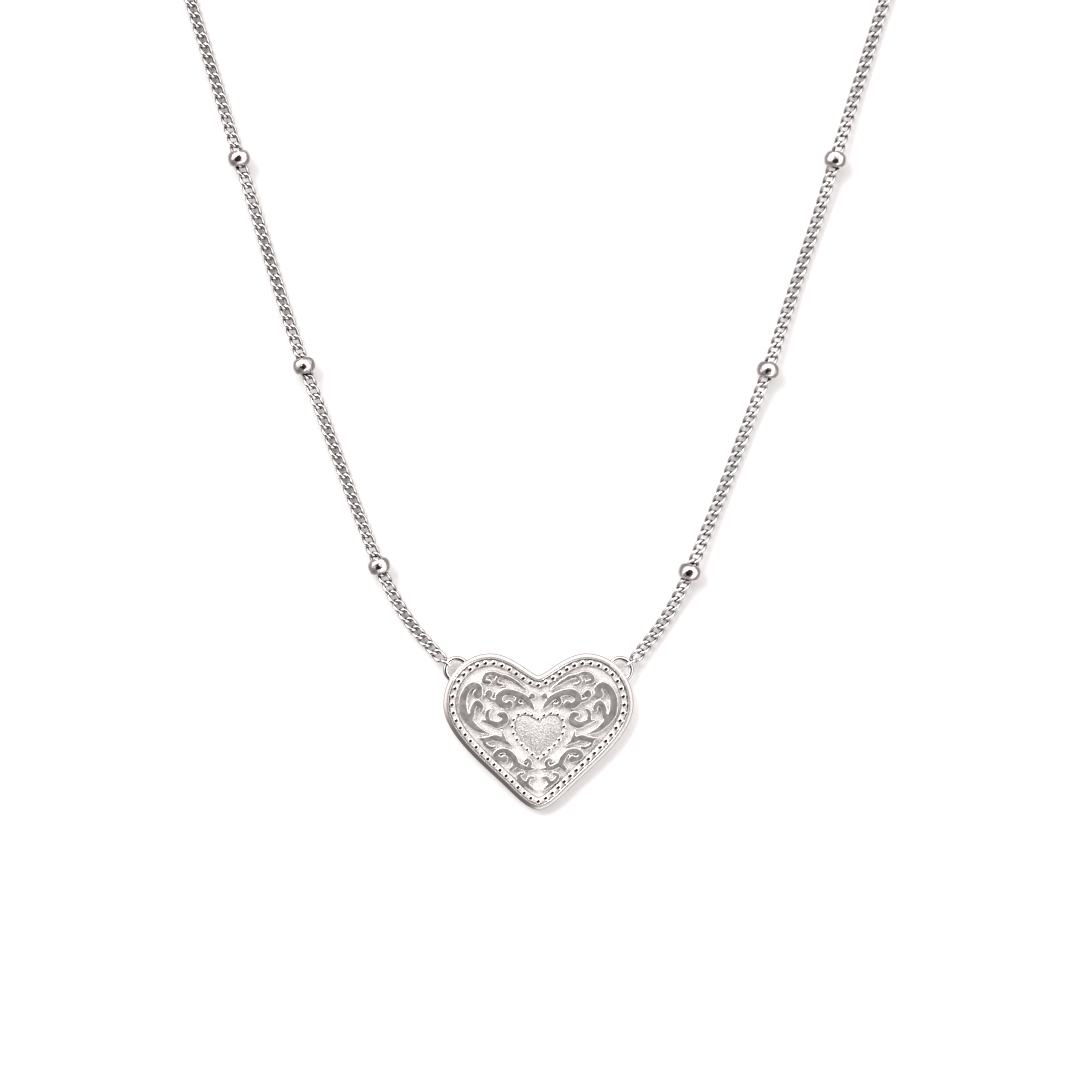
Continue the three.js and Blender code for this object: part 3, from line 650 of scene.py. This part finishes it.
def eyelet_piece(side, metals):
    """The half ring that stands out from the heart's edge, its two ends soldered to it."""
    sign = -1 if side == "left" else 1
    turn = np.linspace(0, 2 * np.pi, 241)[:-1]
    at = EYELET_AT * np.array([sign, 1, 1])
    ring = at + EYELET_R * np.column_stack([np.cos(turn), np.sin(turn), 0 * turn])
    edge = inset(heart_loop(HEART_EDGE, HEART_STEPS), 0.1)
    inside, _, _ = against_outline(ring[:, 0], ring[:, 1], edge)
    start = np.argmax(inside & ~np.roll(inside, -1))
    ring = np.roll(ring, -start, 0)
    inside = np.roll(inside, -start)
    arc = ring[:np.argmax(inside[1:]) + 2]
    piece = new_piece(f"{side}_eyelet_wire", *wire_along(arc, EYELET_WIRE / 2, False, 18),
                      metals["polished"], "polished_silver", "pendant")
    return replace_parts(piece, f"{side}_eyelet")


def make_rings(metals):
    """The links and rings at each side's two ends, by side, outermost last."""
    polished, chain, turn = metals["polished"], metals["chain"], CHAIN_END_ANGLE
    end_link = upright(oval_points(END_LINK_LENGTH - WIRE, END_LINK_HEIGHT - WIRE))
    left_last = oval_points(LAST_LINK_LENGTH["left"] - WIRE, LEFT_LAST_LINK_WIDTH - WIRE)
    right_last = upright(oval_points(LAST_LINK_LENGTH["right"] - WIRE, END_LINK_HEIGHT - WIRE))
    clasp_ring = upright(oval_points(2 * CLASP_RING_R, 2 * CLASP_RING_R))
    end_ring = oval_points(2 * END_RING_R, 2 * END_RING_R, 72)
    eyelet_piece("left", metals)
    left = [
        ring_piece("left_end_link", end_link, WIRE, END_LINK_ANGLE,
                   polished, "polished_silver", "left_end_link"),
        ring_piece("left_last_link", left_last, WIRE, turn["left"], chain, "chain_silver", "left_chain"),
        ring_piece("clasp_ring", clasp_ring, CLASP_RING_WIRE, turn["left"],
                   polished, "clasp_silver", "clasp_ring"),
    ]
    eyelet_piece("right", metals)
    right = [
        ring_piece("right_end_link", end_link, WIRE, 180 - END_LINK_ANGLE,
                   polished, "polished_silver", "right_end_link"),
        ring_piece("right_last_link", right_last, WIRE, turn["right"], chain, "chain_silver", "right_chain"),
        ring_piece("end_ring", end_ring, END_RING_WIRE, turn["right"], polished, "clasp_silver", "end_ring"),
    ]
    return {"left": left, "right": right}


def softened(name, node, metal, slot, body):
    """A copy of a CAD solid with its edges rounded over, as cast and tumbled metal has them."""
    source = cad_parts[node]
    mesh = source.data.copy()
    mesh.transform(source.matrix_world)
    mesh.transform(Matrix.Scale(1 / MM, 4))
    work = bpy.data.objects.new("work", mesh)
    bpy.context.scene.collection.objects.link(work)
    remesh = work.modifiers.new("remesh", "REMESH")
    remesh.mode, remesh.voxel_size = "VOXEL", CAST_VOXEL
    smooth = work.modifiers.new("smooth", "SMOOTH")
    smooth.factor, smooth.iterations = 0.6, CAST_SMOOTHINGS
    made = work.evaluated_get(bpy.context.evaluated_depsgraph_get()).to_mesh()
    vertices = np.zeros(3 * len(made.vertices))
    made.vertices.foreach_get("co", vertices)
    faces = [list(face.vertices) for face in made.polygons]
    work.to_mesh_clear()
    bpy.data.objects.remove(work)
    piece = new_piece(name, vertices.reshape(-1, 3), faces, metal, slot, body)
    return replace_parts(piece, node)


def pin_piece(metals):
    """The lever's pivot: a short pin with domed heads."""
    low, high = box_mm("clasp_pin")
    x, y, _ = (low + high) / 2
    r = (high[0] - low[0]) / 2
    turn = np.linspace(0, 2 * np.pi, 33)[:-1]
    circle = np.column_stack([np.cos(turn), np.sin(turn)])
    dome = 0.08
    profile = [(r * math.sin(a), low[2] + dome * (1 - math.cos(a))) for a in np.linspace(0.1, math.pi / 2, 6)]
    profile += [(radius, low[2] + high[2] - z) for radius, z in profile[::-1]]
    rings = [level((x, y) + radius * circle, z) for radius, z in profile]
    piece = new_piece("clasp_pin_turned", *skin(rings), metals["steel"], "spring_steel", "clasp_body")
    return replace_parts(piece, "clasp_pin")


def make_clasp(metals):
    """The clasp's pieces. Its spring is the CAD node, with a material of its own."""
    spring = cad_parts["clasp_spring"]
    for slot in spring.material_slots:
        slot.material = metals["steel"]
    return [
        softened("clasp_body_cast", "clasp_body", metals["polished"], "clasp_silver", "clasp_body"),
        softened("clasp_lever_cast", "clasp_lever", metals["polished"], "clasp_silver", "clasp_lever"),
        pin_piece(metals), "clasp_spring"]


# ---- Materials -----------------------------------------------------------------------------------

def add_node(tree, kind, **settings):
    node = tree.nodes.new(kind)
    for key, value in settings.items():
        setattr(node, key, value)
    return node


def noise(tree, scale, detail=3.0, stretch=None):
    """Noise over the piece's own coordinates, in grains per metre."""
    coordinates = add_node(tree, "ShaderNodeTexCoord").outputs["Object"]
    if stretch:
        mapping = add_node(tree, "ShaderNodeMapping")
        mapping.inputs["Scale"].default_value = stretch
        tree.links.new(coordinates, mapping.inputs["Vector"])
        coordinates = mapping.outputs["Vector"]
    texture = add_node(tree, "ShaderNodeTexNoise")
    texture.inputs["Scale"].default_value = scale
    texture.inputs["Detail"].default_value = detail
    tree.links.new(coordinates, texture.inputs["Vector"])
    return texture.outputs["Fac"]


def ranged(tree, value, low, high, to_low, to_high, how="SMOOTHSTEP"):
    node = add_node(tree, "ShaderNodeMapRange", interpolation_type=how)
    for name, number in (("From Min", low), ("From Max", high), ("To Min", to_low), ("To Max", to_high)):
        node.inputs[name].default_value = number
    tree.links.new(value, node.inputs["Value"])
    return node.outputs["Result"]


def blend_numbers(tree, factor, a, b):
    """a where the factor is 0 and b where it is 1; each a number or a socket."""
    node = add_node(tree, "ShaderNodeMix", data_type="FLOAT")
    tree.links.new(factor, node.inputs["Factor"])
    for name, value in (("A", a), ("B", b)):
        if isinstance(value, (int, float)):
            node.inputs[name].default_value = value
        else:
            tree.links.new(value, node.inputs[name])
    return node.outputs["Result"]


def bump(tree, height, distance, strength=1.0, under=None):
    node = add_node(tree, "ShaderNodeBump")
    node.inputs["Distance"].default_value = distance * MM
    node.inputs["Strength"].default_value = strength
    tree.links.new(height, node.inputs["Height"])
    if under:
        tree.links.new(under, node.inputs["Normal"])
    return node.outputs["Normal"]


def two_tones(tree, factor, dark, light):
    ramp = add_node(tree, "ShaderNodeValToRGB")
    for element, colour, place in zip(ramp.color_ramp.elements, (dark, light), (0.35, 0.65)):
        element.color = (*colour, 1)
        element.position = place
    tree.links.new(factor, ramp.inputs["Fac"])
    return ramp.outputs["Color"]


def new_metal(name):
    material = bpy.data.materials.new(name)
    material.use_nodes = True
    shader = material.node_tree.nodes["Principled BSDF"]
    shader.inputs["Metallic"].default_value = 1.0
    return material, material.node_tree, shader


def with_painted_crevice_shade(tree, colour, reach):
    """The colour with painted shade: darkened towards near-black in crevices within reach, found by ambient
    occlusion.
    """
    crevice = add_node(tree, "ShaderNodeAmbientOcclusion", samples=8)
    crevice.inputs["Distance"].default_value = reach * MM
    dark = ranged(tree, crevice.outputs["AO"], 0.42, 0.95, 1, 0)
    node = add_node(tree, "ShaderNodeMix", data_type="RGBA")
    tree.links.new(dark, node.inputs["Factor"])
    tree.links.new(colour, node.inputs["A"])
    node.inputs["B"].default_value = (*CREVICE_PAINTED_SHADE, 1)
    return node.outputs["Result"]


def worn_metal(name, roughness, grain, grain_height, light=SILVER, dark=SILVER_SHADED, crevices=0.0):
    """Bare metal with uneven polish: cloudy tone and gloss, a fine surface and short hairline scratches.
    Given a reach for crevices, painted shade darkens them as well.
    """
    material, tree, shader = new_metal(name)
    colour = two_tones(tree, noise(tree, CLOUDS), dark, light)
    # Painted shade: crevices within reach darkened towards near-black.
    if crevices:
        colour = with_painted_crevice_shade(tree, colour, crevices)
    tree.links.new(colour, shader.inputs["Base Color"])
    gloss = ranged(tree, noise(tree, GLOSS), 0.3, 0.7, *roughness)
    tree.links.new(gloss, shader.inputs["Roughness"])
    scratches = noise(tree, SCRATCHES, 2, (1, 14, 6))
    fine = bump(tree, noise(tree, grain, 4), grain_height)
    tree.links.new(bump(tree, scratches, 0.0015, 1.0, fine), shader.inputs["Normal"])
    return material


def relief_metal():
    """Satin tops, polished shoulders, and ground matted with fine punch marks."""
    material, tree, shader = new_metal("relief_silver")
    separate = add_node(tree, "ShaderNodeSeparateXYZ")
    tree.links.new(add_node(tree, "ShaderNodeTexCoord").outputs["Object"], separate.inputs[0])
    height = separate.outputs["Z"]
    top = ranged(tree, height, *RELIEF_BROW, 0, 1)
    ground = ranged(tree, height, *RELIEF_FOOT, 1, 0)
    colour = two_tones(tree, noise(tree, FINE_CLOUDS), SILVER_SHADED, SILVER)
    tree.links.new(colour, shader.inputs["Base Color"])
    satin = ranged(tree, noise(tree, 2500), 0.3, 0.7, 0.33, 0.41)
    rough = blend_numbers(tree, ground, blend_numbers(tree, top, 0.08, satin), 0.78)
    tree.links.new(rough, shader.inputs["Roughness"])
    marks = blend_numbers(tree, ground, 0.5, noise(tree, PUNCH_MARKS, 2))
    brushed = bump(tree, noise(tree, 9000, 3, (1, 0.2, 1)), 0.0025)
    tree.links.new(bump(tree, marks, 0.09, 1.0, brushed), shader.inputs["Normal"])
    return material


def grain_metal():
    """Polished grains on a matted wire."""
    material, tree, shader = new_metal("grain_silver")
    separate = add_node(tree, "ShaderNodeSeparateXYZ")
    tree.links.new(add_node(tree, "ShaderNodeTexCoord").outputs["Object"], separate.inputs[0])
    colour = two_tones(tree, noise(tree, FINE_CLOUDS), SILVER_SHADED, SILVER)
    tree.links.new(colour, shader.inputs["Base Color"])
    wire = ranged(tree, separate.outputs["Z"], *GRAIN_FOOT, 1, 0)
    rough = blend_numbers(tree, wire, ranged(tree, noise(tree, 6000), 0.3, 0.7, 0.05, 0.12), 0.75)
    tree.links.new(rough, shader.inputs["Roughness"])
    marks = blend_numbers(tree, wire, 0.5, noise(tree, PUNCH_MARKS, 2))
    tree.links.new(bump(tree, marks, 0.08), shader.inputs["Normal"])
    return material


def sandblasted_metal():
    """A frosted surface of fine pits that glint one by one. The pits carry painted shade, with the darker
    tone laid in their low places.
    """
    material, tree, shader = new_metal("sandblasted_silver")
    pits = noise(tree, PITS, 2)
    # Painted shade: the noise that sinks the pits also gives them the darker tone.
    tree.links.new(two_tones(tree, pits, SILVER_SHADED, SILVER), shader.inputs["Base Color"])
    tree.links.new(ranged(tree, noise(tree, 6000), 0.35, 0.65, 0.29, 0.42), shader.inputs["Roughness"])
    tree.links.new(bump(tree, pits, 0.05), shader.inputs["Normal"])
    return material


def make_metals():
    return {
        "polished": worn_metal("polished_silver", (0.07, 0.15), 5000, 0.002),
        "grain": grain_metal(),
        # The chain's crevices get painted shade.
        "chain": worn_metal("chain_silver", (0.08, 0.16), 7000, 0.0015, crevices=0.6),
        "bead": worn_metal("bead_silver", (0.1, 0.18), 900, 0.18),
        "steel": worn_metal("spring_steel", (0.22, 0.36), 9000, 0.001, STEEL_LIGHT, STEEL_DARK),
        "relief": relief_metal(),
        "sandblasted": sandblasted_metal(),
    }


# ---- Light and floor -----------------------------------------------------------------------------

def ramp(tree, value, stops):
    """A colour that follows a value through (place, colour) stops."""
    node = add_node(tree, "ShaderNodeValToRGB")
    node.color_ramp.interpolation = "EASE"
    elements = node.color_ramp.elements
    while len(elements) < len(stops):
        elements.new(0.5)
    for element, (place, colour) in zip(elements, stops):
        element.position, element.color = place, (*colour, 1)
    tree.links.new(value, node.inputs["Fac"])
    return node.outputs["Color"]


def make_world():
    """A white tent with a dark opening overhead, darker at the horizon and towards the lower left."""
    world = bpy.data.worlds.new("studio")
    world.use_nodes = True
    tree = world.node_tree
    direction = add_node(tree, "ShaderNodeTexCoord").outputs["Generated"]
    separate = add_node(tree, "ShaderNodeSeparateXYZ")
    tree.links.new(direction, separate.inputs[0])

    def towards(way):
        node = add_node(tree, "ShaderNodeVectorMath", operation="DOT_PRODUCT")
        node.inputs[1].default_value = way
        tree.links.new(direction, node.inputs[0])
        return node.outputs["Value"]

    opening = ramp(tree, towards(OPENING_WAY), OPENING_RAMP)
    around = ramp(tree, ranged(tree, separate.outputs["Z"], -1, 1, 0, 1, "LINEAR"), HEIGHT_RAMP)
    both = add_node(tree, "ShaderNodeMix", data_type="RGBA", blend_type="MULTIPLY")
    both.inputs["Factor"].default_value = 1.0
    tree.links.new(opening, both.inputs["A"])
    tree.links.new(around, both.inputs["B"])
    background = tree.nodes["Background"]
    tree.links.new(both.outputs["Result"], background.inputs["Color"])
    dim = ranged(tree, towards(DIM_WAY), *DIM_FROM_TO, TENT, TENT * DIMMED)
    tree.links.new(dim, background.inputs["Strength"])
    bpy.context.scene.world = world


def make_key_light():
    data = bpy.data.lights.new("key", "SUN")
    data.energy, data.angle = KEY_STRENGTH, math.radians(KEY_SPREAD)
    key = bpy.data.objects.new("key", data)
    key.rotation_euler = (*map(math.radians, KEY_TURN), 0)
    bpy.context.scene.collection.objects.link(key)


def make_floor():
    """A white card with a faint tooth, which the metal doesn't mirror: it mirrors what is under it."""
    material = bpy.data.materials.new("white_card")
    material.use_nodes = True
    tree = material.node_tree
    shader = tree.nodes["Principled BSDF"]
    shader.inputs["Specular IOR Level"].default_value = 0.2
    shader.inputs["Roughness"].default_value = 0.8
    shader.inputs["Emission Color"].default_value = (1, 1, 1, 1)
    shader.inputs["Emission Strength"].default_value = FLOOR_GLOW
    card = two_tones(tree, noise(tree, 300), CARD_DARK, CARD_LIGHT)
    tree.links.new(card, shader.inputs["Base Color"])
    mesh = bpy.data.meshes.new("floor")
    corners = [(-1, -1), (1, -1), (1, 1), (-1, 1)]
    mesh.from_pydata([(x * FLOOR_HALF, y * FLOOR_HALF, FLOOR_Z) for x, y in corners], [], [(0, 1, 2, 3)])
    mesh.materials.append(material)
    floor = bpy.data.objects.new("floor", mesh)
    bpy.context.scene.collection.objects.link(floor)
    floor.visible_glossy = False


# ---- Scene ---------------------------------------------------------------------------------------

bpy.context.scene.view_settings.view_transform = "Standard"
metals = make_metals()
rings = make_rings(metals)
clasp = make_clasp(metals)
for side in ("left", "right"):
    links, beads, path = make_chain(side, metals)
frame_piece(metals)
grain_row("border_grain_row", "border_grains", HEART_EDGE, BORDER_LINE,
          BORDER_GRAINS, BORDER_GRAIN_R, BORDER_WIRE_HALF, metals["grain"])
plate_piece(metals)
centre_heart_piece(metals)
grain_row("centre_grain_row", "centre_grains", CENTRE_LINE, 0,
          CENTRE_GRAINS, CENTRE_GRAIN_R, CENTRE_WIRE_HALF, metals["grain"])
make_world()
make_key_light()
make_floor()
